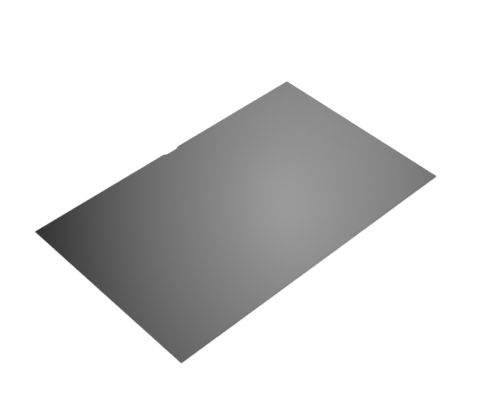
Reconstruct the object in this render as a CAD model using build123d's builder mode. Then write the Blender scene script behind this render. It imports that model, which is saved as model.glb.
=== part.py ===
from build123d import *
import os

# Laptop privacy filter: one flat sheet of dark film, cut to the viewing area of a 16:10 screen,
# with a shallow finger notch in the middle of its upper long edge, to lift it off the screen by.
# The sheet lies on its back. X runs along the long sides, Y points to the notched edge and Z is up.
# The origin is the middle of the back face. All sizes are in millimetres.

# Sheet
sheet_width = 331.0
sheet_height = 207.0
sheet_thickness = 0.53
corner_radius = 0.8

# Soft edge that the cutting die leaves round the viewing side; the back keeps its square edge
rolled_edge_radius = 0.1

# Finger notch: a flat floor between two sloping flanks, with every corner blended
notch_floor_width = 11.7
notch_flank_run = 3.6
notch_depth = 1.85
notch_blend_radius = 1.5

notched_edge = sheet_height / 2
notch_floor_level = notched_edge - notch_depth
half_notch_floor = notch_floor_width / 2
half_notch_mouth = half_notch_floor + notch_flank_run

with BuildPart() as filter_sheet:
    with BuildSketch() as outline:
        Rectangle(sheet_width, sheet_height)
        fillet(outline.vertices(), radius=corner_radius)
        with BuildLine():
            notch_profile = Polyline(
                (-half_notch_mouth, notched_edge),
                (-half_notch_floor, notch_floor_level),
                (half_notch_floor, notch_floor_level),
                (half_notch_mouth, notched_edge),
                close=True,
            )
        make_face(mode=Mode.SUBTRACT)
        notch_corner_count = len(notch_profile.vertices())
        notch_corners = outline.vertices().sort_by_distance((0, notched_edge))[:notch_corner_count]
        fillet(notch_corners, radius=notch_blend_radius)
    extrude(amount=sheet_thickness)
    viewing_face = filter_sheet.faces().sort_by(Axis.Z)[-1]
    fillet(viewing_face.edges(), radius=rolled_edge_radius)

filter_sheet.part.label = "filter_sheet"

os.makedirs("parts", exist_ok=True)
export_step(filter_sheet.part, "parts/filter_sheet.step")
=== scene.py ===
import math

import bpy
import numpy as np
from bpy.props import FloatProperty, FloatVectorProperty, PointerProperty
from bpy.types import NodeSocket, Operator, Panel, PropertyGroup, Scene
from mathutils import Matrix, Vector


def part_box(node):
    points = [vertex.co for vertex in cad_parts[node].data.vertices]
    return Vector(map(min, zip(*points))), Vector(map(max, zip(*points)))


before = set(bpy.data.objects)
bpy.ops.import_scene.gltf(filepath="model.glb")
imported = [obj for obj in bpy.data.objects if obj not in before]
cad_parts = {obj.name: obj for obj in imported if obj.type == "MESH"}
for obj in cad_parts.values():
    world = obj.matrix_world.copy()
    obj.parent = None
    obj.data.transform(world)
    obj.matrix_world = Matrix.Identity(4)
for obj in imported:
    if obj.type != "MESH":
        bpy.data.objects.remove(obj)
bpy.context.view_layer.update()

bl_info = {
    "name": "Laptop Privacy Filter",
    "version": (1, 0, 0),
    "blender": (4, 5, 0),
    "location": "3D View > Sidebar > Privacy Filter",
    "description": "Gives a privacy filter sheet its satin film finish and lays it in a pale studio",
    "category": "Object",
}

MILLIMETRE = 0.001
SHEET_NODE = "filter_sheet"
SHEET_LOW, SHEET_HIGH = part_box(SHEET_NODE)
SHEET_WIDTH = SHEET_HIGH.x - SHEET_LOW.x

# Refractive index of the film's hard coat
FILM_IOR = 1.5
# Share of the normal that points up or down: all edge below the first, all face above the second
EDGE_SHARE, FACE_SHARE = 0.15, 0.98
# How many of the satin's slow changes lie along the sheet
DRIFTS_ALONG = 5.0
# Share of the small mottle, beside the slow drift, in the tint's unevenness
MOTTLE_SHARE = 0.5
# Levels of detail in the noise of the tint and of the grain
TINT_DETAIL, GRAIN_DETAIL = 2.0, 1.0
# Stretch of a noise's values that is spread over the whole of what it drives
NOISE_LOW, NOISE_HIGH = 0.3, 0.7
# A mix node's two inputs and its result, by number because they share their names with its other kinds
MIX_VALUE_SOCKETS, MIX_COLOUR_SOCKETS = (2, 3, 0), (6, 7, 2)
# Middle of a round lamp and the distance from there to its rim, on its own coordinates from 0 to 1
LAMP_MIDDLE, LAMP_RIM = (0.5, 0.5, 0.0), 0.5
FLOOR_MIDDLE = (0.0, 0.0, 0.0)
FLOOR_RINGS, FLOOR_SPOKES = 24, 96
WHITE = (1.0, 1.0, 1.0)
UP = Vector((0.0, 0.0, 1.0))


class FilmSettings(PropertyGroup):
    """Colours and surface of the film."""

    pale_tint: FloatVectorProperty(
        name="Pale tint",
        description="Tint of the film where it is palest",
        subtype="COLOR",
        size=3,
        min=0.0,
        max=1.0,
        default=(0.0146, 0.0146, 0.0149),
    )
    deep_tint: FloatVectorProperty(
        name="Deep tint",
        description="Tint of the film where it is darkest",
        subtype="COLOR",
        size=3,
        min=0.0,
        max=1.0,
        default=(0.0129, 0.0129, 0.0131),
    )
    cut_edge_tint: FloatVectorProperty(
        name="Cut edge tint",
        description="Grey of the frosted edge that the cutting die leaves",
        subtype="COLOR",
        size=3,
        min=0.0,
        max=1.0,
        default=(0.0200, 0.0200, 0.0205),
    )
    satin_roughness: FloatProperty(
        name="Satin roughness",
        description="Roughness of the satin viewing side",
        subtype="FACTOR",
        min=0.0,
        max=1.0,
        default=0.18,
    )
    roughness_drift: FloatProperty(
        name="Roughness drift",
        description="How far the satin drifts in roughness from place to place",
        subtype="FACTOR",
        min=0.0,
        max=0.2,
        default=0.002,
    )
    back_roughness: FloatProperty(
        name="Back roughness",
        description="Roughness of the glossier back",
        subtype="FACTOR",
        min=0.0,
        max=1.0,
        default=0.12,
    )
    cut_edge_roughness: FloatProperty(
        name="Cut edge roughness",
        description="Roughness of the cut edge",
        subtype="FACTOR",
        min=0.0,
        max=1.0,
        default=0.55,
    )
    drift_size: FloatProperty(
        name="Drift size",
        description="Width of the slow changes in the satin",
        unit="LENGTH",
        min=0.001,
        default=SHEET_WIDTH / DRIFTS_ALONG,
    )
    mottle_size: FloatProperty(
        name="Mottle size",
        description="Width of the small changes in the tint",
        unit="LENGTH",
        min=0.0001,
        default=1.6 * MILLIMETRE,
    )
    grain_size: FloatProperty(
        name="Grain size",
        description="Width of one grain of the satin surface",
        unit="LENGTH",
        min=0.00001,
        default=0.35 * MILLIMETRE,
    )
    grain_height: FloatProperty(
        name="Grain height",
        description="Height of the satin grain",
        unit="LENGTH",
        min=0.0,
        default=0.002 * MILLIMETRE,
    )


class StudioSettings(PropertyGroup):
    """Floor, light and camera."""

    floor_colour: FloatVectorProperty(
        name="Floor colour",
        description="Pale colour of the studio floor",
        subtype="COLOR",
        size=3,
        min=0.0,
        max=1.0,
        default=(0.95, 0.95, 0.95),
    )
    floor_radius: FloatProperty(
        name="Floor radius",
        description="Radius of the round floor",
        unit="LENGTH",
        min=1.0,
        default=30.0,
    )
    floor_gap: FloatProperty(
        name="Floor gap",
        description="How far the floor lies below the back of the sheet",
        unit="LENGTH",
        min=0.0,
        default=0.02 * MILLIMETRE,
    )
    near_lift: FloatProperty(
        name="Near lift",
        description="What brings the floor round the sheet up to white where it is seen",
        min=0.0,
        default=0.1,
    )
    far_lift: FloatProperty(
        name="Far lift",
        description="What brings the distant floor up to white where it is seen",
        min=0.0,
        default=0.65,
    )
    lift_start: FloatProperty(
        name="Lift start",
        description="Distance from the middle at which the lift of the floor begins to grow",
        unit="LENGTH",
        min=0.0,
        default=0.2,
    )
    lift_end: FloatProperty(
        name="Lift end",
        description="Distance from the middle at which the lift of the floor is full",
        unit="LENGTH",
        min=0.0,
        default=0.6,
    )
    horizon_light: FloatProperty(
        name="Horizon light",
        description="Brightness of the pale surroundings near the horizon",
        min=0.0,
        default=1.0,
    )
    zenith_light: FloatProperty(
        name="Zenith light",
        description="Brightness of the dim surroundings overhead",
        min=0.0,
        default=0.12,
    )
    fade_start: FloatProperty(
        name="Fade start",
        description="Height above the horizon at which the surroundings begin to dim",
        subtype="ANGLE",
        default=math.radians(4.0),
    )
    fade_end: FloatProperty(
        name="Fade end",
        description="Height above the horizon at which the surroundings are dim",
        subtype="ANGLE",
        default=math.radians(45.0),
    )
    overhead_light: FloatProperty(
        name="Overhead light",
        description="Light that the broad overhead lamp throws on what faces it, in watts per square metre",
        min=0.0,
        default=1.06,
    )
    overhead_width: FloatProperty(
        name="Overhead width",
        description="Angle that the overhead lamp takes up in the sky",
        subtype="ANGLE",
        min=0.0,
        max=math.pi,
        default=math.radians(30.0),
    )
    overhead_lean: FloatProperty(
        name="Overhead lean",
        description="How far the overhead lamp leans from upright towards the camera",
        subtype="ANGLE",
        default=math.radians(23.0),
    )
    softbox_place: FloatVectorProperty(
        name="Softbox place",
        description="Middle of the key softbox, which the satin mirrors to the camera",
        subtype="TRANSLATION",
        size=3,
        default=(1.835, 1.571, 2.5),
    )
    softbox_width: FloatProperty(
        name="Softbox width",
        description="Width of each oval softbox",
        unit="LENGTH",
        min=0.01,
        default=2.215,
    )
    softbox_height: FloatProperty(
        name="Softbox height",
        description="Height of each oval softbox",
        unit="LENGTH",
        min=0.01,
        default=2.743,
    )
    softbox_power: FloatProperty(
        name="Softbox power",
        description="Power of the key softbox if it were as bright all over as in its middle",
        unit="POWER",
        min=0.0,
        default=103.4,
    )
    fill_share: FloatProperty(
        name="Fill share",
        description="Power of each of the other three softboxes, as a share of the key softbox's",
        subtype="FACTOR",
        min=0.0,
        max=1.0,
        default=0.4,
    )
    bulb_place: FloatVectorProperty(
        name="Bulb place",
        description="Where the bulb shines through the key softbox",
        subtype="TRANSLATION",
        size=3,
        default=(1.871, 1.730, 2.5),
    )
    bulb_width: FloatProperty(
        name="Bulb width",
        description="Width of the round spot where the bulb shines through",
        unit="LENGTH",
        min=0.01,
        default=0.25,
    )
    bulb_power: FloatProperty(
        name="Bulb power",
        description="Power of the light that the bulb adds there",
        unit="POWER",
        min=0.0,
        default=0.415,
    )
    camera_azimuth: FloatProperty(
        name="Camera azimuth",
        description="Direction of the camera round the sheet, from the front edge",
        subtype="ANGLE",
        default=math.radians(-43.355),
    )
    camera_elevation: FloatProperty(
        name="Camera elevation",
        description="Angle of the camera above the floor",
        subtype="ANGLE",
        default=math.radians(44.405),
    )
    camera_roll: FloatProperty(
        name="Camera roll",
        description="Turn of the camera about its line of sight",
        subtype="ANGLE",
        default=math.radians(0.131),
    )
    camera_distance: FloatProperty(
        name="Camera distance",
        description="Distance from the camera to the point it looks at",
        unit="LENGTH",
        min=0.1,
        default=0.9978,
    )
    camera_aim: FloatVectorProperty(
        name="Camera aim",
        description="Point on the floor that the camera looks at",
        subtype="TRANSLATION",
        size=3,
        default=(-0.00145, 0.00020, 0.0),
    )
    camera_lens: FloatProperty(
        name="Camera lens",
        description="Focal length of the camera, in millimetres",
        unit="CAMERA",
        min=1.0,
        default=78.51,
    )
    camera_sensor: FloatProperty(
        name="Camera sensor",
        description="Width of the camera's sensor, in millimetres",
        unit="CAMERA",
        min=1.0,
        default=36.0,
    )


class NodeBench:
    """Adds and joins the nodes of one material, lamp or world."""

    def __init__(self, owner, output_kind):
        owner.use_nodes = True
        self.tree = owner.node_tree
        self.tree.nodes.clear()
        self.output = self.tree.nodes.new(output_kind)

    def add(self, kind, **settings):
        """New node of a kind, with its settings."""
        node = self.tree.nodes.new(kind)
        for name, value in settings.items():
            setattr(node, name, value)
        return node

    def feed(self, socket, source):
        """Links an output to the socket, or sets a plain value on it."""
        if isinstance(source, NodeSocket):
            self.tree.links.new(source, socket)
        else:
            socket.default_value = source

    def close(self, surface):
        """Joins the finished shader to the output."""
        self.feed(self.output.inputs["Surface"], surface)

    def math(self, operation, first, second=0.0):
        """Result of an operation on one or two numbers."""
        node = self.add("ShaderNodeMath", operation=operation)
        self.feed(node.inputs[0], first)
        self.feed(node.inputs[1], second)
        return node.outputs["Value"]

    def height_of(self, vector):
        """Z of a vector."""
        node = self.add("ShaderNodeSeparateXYZ")
        self.feed(node.inputs["Vector"], vector)
        return node.outputs["Z"]

    def distance(self, place, middle):
        """Distance from a place to a fixed point."""
        node = self.add("ShaderNodeVectorMath", operation="DISTANCE")
        self.feed(node.inputs[0], place)
        self.feed(node.inputs[1], middle)
        return node.outputs["Value"]

    def ramp(self, value, low, high, at_low, at_high):
        """Smooth step of a value from at_low to at_high between low and high."""
        node = self.add("ShaderNodeMapRange", interpolation_type="SMOOTHSTEP")
        for name, source in (
            ("Value", value),
            ("From Min", low),
            ("From Max", high),
            ("To Min", at_low),
            ("To Max", at_high),
        ):
            self.feed(node.inputs[name], source)
        return node.outputs["Result"]

    def noise(self, place, feature_size, detail):
        """Noise whose features are about feature_size wide, in metres."""
        node = self.add("ShaderNodeTexNoise")
        self.feed(node.inputs["Vector"], place)
        self.feed(node.inputs["Scale"], 1.0 / feature_size)
        self.feed(node.inputs["Detail"], detail)
        return node.outputs["Fac"]

    def mix(self, kind, sockets, factor, first, second):
        """Mix node of a kind that goes from first to second with the factor."""
        node = self.add("ShaderNodeMix", data_type=kind)
        first_input, second_input, result = sockets
        self.feed(node.inputs["Factor"], factor)
        self.feed(node.inputs[first_input], first)
        self.feed(node.inputs[second_input], second)
        return node.outputs[result]

    def blend(self, factor, first, second):
        """Value that goes from first to second with the factor."""
        return self.mix("FLOAT", MIX_VALUE_SOCKETS, factor, first, second)

    def blend_colour(self, factor, first, second):
        """Colour that goes from first to second with the factor."""
        return self.mix("RGBA", MIX_COLOUR_SOCKETS, factor, first, second)


def opaque(colour):
    """The colour with full alpha."""
    return (*colour, 1.0)


def satin_film(film):
    """Film with a satin viewing side, a glossier back and a frosted cut edge, its tint never quite even."""
    material = bpy.data.materials.new("satin_film")
    bench = NodeBench(material, "ShaderNodeOutputMaterial")
    coordinates = bench.add("ShaderNodeTexCoord")
    place = coordinates.outputs["Object"]
    facing = bench.height_of(coordinates.outputs["Normal"])
    on_edge = bench.ramp(bench.math("ABSOLUTE", facing), EDGE_SHARE, FACE_SHARE, 1.0, 0.0)
    on_back = bench.math("LESS_THAN", facing, 0.0)

    drift = bench.noise(place, film.drift_size, TINT_DETAIL)
    mottle = bench.noise(place, film.mottle_size, TINT_DETAIL)
    grain = bench.noise(place, film.grain_size, GRAIN_DETAIL)

    unevenness = bench.blend(MOTTLE_SHARE, drift, mottle)
    depth = bench.ramp(unevenness, NOISE_LOW, NOISE_HIGH, 0.0, 1.0)
    tint = bench.blend_colour(depth, opaque(film.pale_tint), opaque(film.deep_tint))
    colour = bench.blend_colour(on_edge, tint, opaque(film.cut_edge_tint))

    smoothest = film.satin_roughness - film.roughness_drift
    roughest = film.satin_roughness + film.roughness_drift
    satin = bench.ramp(drift, NOISE_LOW, NOISE_HIGH, smoothest, roughest)
    face_roughness = bench.blend(on_back, satin, film.back_roughness)
    roughness = bench.blend(on_edge, face_roughness, film.cut_edge_roughness)

    relief = bench.add("ShaderNodeBump")
    bench.feed(relief.inputs["Strength"], 1.0)
    bench.feed(relief.inputs["Distance"], film.grain_height)
    bench.feed(relief.inputs["Height"], grain)

    surface = bench.add("ShaderNodeBsdfPrincipled")
    bench.feed(surface.inputs["Base Color"], colour)
    bench.feed(surface.inputs["Roughness"], roughness)
    bench.feed(surface.inputs["IOR"], FILM_IOR)
    bench.feed(surface.inputs["Normal"], relief.outputs["Normal"])
    bench.close(surface.outputs["BSDF"])
    return material


def floor_paint(studio):
    """Matt pale paint of the floor, lifted to white where it is seen, directly or in a reflection."""
    material = bpy.data.materials.new("floor_paint")
    bench = NodeBench(material, "ShaderNodeOutputMaterial")
    paint = bench.add("ShaderNodeBsdfDiffuse")
    bench.feed(paint.inputs["Color"], opaque(studio.floor_colour))

    path = bench.add("ShaderNodeLightPath")
    mirrored = bench.math("MAXIMUM", path.outputs["Is Glossy Ray"], path.outputs["Is Transmission Ray"])
    seen = bench.math("MAXIMUM", path.outputs["Is Camera Ray"], mirrored)
    place = bench.add("ShaderNodeTexCoord").outputs["Object"]
    reach = bench.distance(place, FLOOR_MIDDLE)
    lift = bench.ramp(reach, studio.lift_start, studio.lift_end, studio.near_lift, studio.far_lift)
    glow = bench.add("ShaderNodeEmission")
    bench.feed(glow.inputs["Strength"], bench.math("MULTIPLY", seen, lift))

    both = bench.add("ShaderNodeAddShader")
    bench.feed(both.inputs[0], paint.outputs["BSDF"])
    bench.feed(both.inputs[1], glow.outputs["Emission"])
    bench.close(both.outputs["Shader"])
    return material


def disc(radius, level, rings, spokes):
    """Vertices and faces of a flat disc.

    Ring i of n has radius (i / n) squared times the disc's radius, and spoke j of m stands at the
    angle j / m of a full turn. The innermost ring is a small polygon that closes the middle.
    """
    reach = radius * (np.arange(1, rings + 1) / rings) ** 2
    turn = 2.0 * np.pi * np.arange(spokes) / spokes
    x = np.outer(reach, np.cos(turn))
    y = np.outer(reach, np.sin(turn))
    vertices = np.stack((x, y, np.full_like(x, level)), axis=-1).reshape(-1, 3)
    index = np.arange(rings * spokes).reshape(rings, spokes)
    onward = np.roll(index, -1, axis=1)
    quads = np.stack((index[:-1], index[1:], onward[1:], onward[:-1]), axis=-1).reshape(-1, 4)
    return vertices, [index[0].tolist(), *quads.tolist()]


def add_floor(studio):
    """Round floor, a hair below the back of the sheet."""
    level = SHEET_LOW.z - studio.floor_gap
    vertices, faces = disc(studio.floor_radius, level, FLOOR_RINGS, FLOOR_SPOKES)
    mesh = bpy.data.meshes.new("studio_floor")
    mesh.from_pydata(vertices.tolist(), [], faces)
    mesh.materials.append(floor_paint(studio))
    floor = bpy.data.objects.new("studio_floor", mesh)
    bpy.context.scene.collection.objects.link(floor)


def add_surroundings(studio):
    """World that is pale near the horizon and dim overhead."""
    world = bpy.data.worlds.new("studio_surroundings")
    bpy.context.scene.world = world
    bench = NodeBench(world, "ShaderNodeOutputWorld")
    height = bench.height_of(bench.add("ShaderNodeTexCoord").outputs["Generated"])
    fade_start, fade_end = math.sin(studio.fade_start), math.sin(studio.fade_end)
    light = bench.add("ShaderNodeBackground")
    bench.feed(light.inputs["Color"], opaque(WHITE))
    brightness = bench.ramp(height, fade_start, fade_end, studio.horizon_light, studio.zenith_light)
    bench.feed(light.inputs["Strength"], brightness)
    bench.close(light.outputs["Background"])


def add_lamp(name, kind, matrix):
    """Lamp of a kind, placed by a matrix, that shines along its own -Z."""
    data = bpy.data.lights.new(name, kind)
    lamp = bpy.data.objects.new(name, data)
    lamp.matrix_world = matrix
    bpy.context.scene.collection.objects.link(lamp)
    return data


def placed(right, top, back, place):
    """Matrix of a lamp or camera at a place, from its own X, Y and Z directions."""
    matrix = Matrix((right, top, back)).transposed().to_4x4()
    matrix.translation = place
    return matrix


def facing_sheet(place):
    """Matrix of a lamp at a place that faces the middle of the sheet."""
    back = Vector(place).normalized()
    right = UP.cross(back).normalized()
    return placed(right, back.cross(right), back, place)


def add_overhead_lamp(studio):
    """Broad lamp overhead that lights the floor.

    It leans towards the camera, so that the satin doesn't mirror it there.
    """
    lean = Matrix.Rotation(studio.overhead_lean, 4, "X")
    to_camera = Matrix.Rotation(studio.camera_azimuth, 4, "Z")
    lamp = add_lamp("overhead_lamp", "SUN", to_camera @ lean)
    lamp.energy = studio.overhead_light
    lamp.angle = studio.overhead_width


def add_softbox(name, place, power, studio):
    """Oval softbox that faces the sheet.

    It is brightest in the middle and dark at the rim: its glow is 1 less the distance from the middle,
    where the rim is at a distance of 1.
    """
    cloth = add_lamp(name, "AREA", facing_sheet(place))
    cloth.shape = "ELLIPSE"
    cloth.size = studio.softbox_width
    cloth.size_y = studio.softbox_height
    cloth.energy = power
    bench = NodeBench(cloth, "ShaderNodeOutputLight")
    across = bench.add("ShaderNodeNewGeometry").outputs["Parametric"]
    reach = bench.math("DIVIDE", bench.distance(across, LAMP_MIDDLE), LAMP_RIM)
    glow = bench.add("ShaderNodeEmission")
    bench.feed(glow.inputs["Strength"], bench.math("SUBTRACT", 1.0, reach))
    bench.close(glow.outputs["Emission"])


def add_key_light(studio):
    """Softbox that the satin mirrors to the camera, with a bulb that shines through it."""
    add_softbox("key_softbox", studio.softbox_place, studio.softbox_power, studio)
    bulb = add_lamp("key_bulb", "AREA", facing_sheet(studio.bulb_place))
    bulb.shape = "DISK"
    bulb.size = studio.bulb_width
    bulb.energy = studio.bulb_power


def add_fill_lights(studio):
    """Three weaker softboxes at the other corners, as mirror images of the key softbox.

    With them the film shows its sheen from every side.
    """
    x, y, z = studio.softbox_place
    power = studio.fill_share * studio.softbox_power
    for name, place in (
        ("left_softbox", (-x, y, z)),
        ("right_softbox", (x, -y, z)),
        ("near_softbox", (-x, -y, z)),
    ):
        add_softbox(name, place, power, studio)


def add_camera(studio):
    """Camera on a sphere about its aim, at an azimuth and elevation, turned by its roll."""
    azimuth, elevation = studio.camera_azimuth, studio.camera_elevation
    outward = Vector((math.sin(azimuth), -math.cos(azimuth), 0.0))
    back = math.cos(elevation) * outward + math.sin(elevation) * UP
    level = Vector((math.cos(azimuth), math.sin(azimuth), 0.0))
    right = Matrix.Rotation(studio.camera_roll, 3, back) @ level
    place = Vector(studio.camera_aim) + studio.camera_distance * back

    data = bpy.data.cameras.new("photo_camera")
    data.sensor_width = studio.camera_sensor
    data.lens = studio.camera_lens
    camera = bpy.data.objects.new("photo_camera", data)
    camera.matrix_world = placed(right, back.cross(right), back, place)
    bpy.context.scene.collection.objects.link(camera)
    bpy.context.scene.camera = camera


class PRIVACY_OT_dress_sheet(Operator):
    """Give the filter sheet its satin film finish"""

    bl_idname = "privacy_filter.dress_sheet"
    bl_label = "Dress the filter sheet"

    def execute(self, context):
        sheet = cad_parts.get(SHEET_NODE)
        if sheet is None:
            raise RuntimeError(f"the frame has no node named {SHEET_NODE}")
        sheet.data.materials.clear()
        sheet.data.materials.append(satin_film(context.scene.privacy_film))
        return {"FINISHED"}


class PRIVACY_OT_build_studio(Operator):
    """Lay the pale floor and set the soft light and the camera"""

    bl_idname = "privacy_filter.build_studio"
    bl_label = "Build the studio"

    def execute(self, context):
        studio = context.scene.privacy_studio
        add_floor(studio)
        add_surroundings(studio)
        add_overhead_lamp(studio)
        add_key_light(studio)
        add_fill_lights(studio)
        add_camera(studio)
        context.scene.view_settings.view_transform = "Standard"
        return {"FINISHED"}


class VIEW3D_PT_privacy_filter(Panel):
    """Sidebar panel that lists the filter's steps and settings"""

    bl_label = "Privacy Filter"
    bl_idname = "VIEW3D_PT_privacy_filter"
    bl_space_type = "VIEW_3D"
    bl_region_type = "UI"
    bl_category = "Privacy Filter"

    def draw(self, context):
        scene = context.scene
        for operator, settings in (
            (PRIVACY_OT_dress_sheet, scene.privacy_film),
            (PRIVACY_OT_build_studio, scene.privacy_studio),
        ):
            box = self.layout.box()
            box.operator(operator.bl_idname)
            for name in type(settings).__annotations__:
                box.prop(settings, name)


CLASSES = (
    FilmSettings,
    StudioSettings,
    PRIVACY_OT_dress_sheet,
    PRIVACY_OT_build_studio,
    VIEW3D_PT_privacy_filter,
)


def register():
    for item in CLASSES:
        bpy.utils.register_class(item)
    Scene.privacy_film = PointerProperty(type=FilmSettings)
    Scene.privacy_studio = PointerProperty(type=StudioSettings)


def unregister():
    del Scene.privacy_studio
    del Scene.privacy_film
    for item in reversed(CLASSES):
        bpy.utils.unregister_class(item)


def main():
    register()
    bpy.ops.privacy_filter.dress_sheet()
    bpy.ops.privacy_filter.build_studio()


if __name__ == "__main__":
    main()
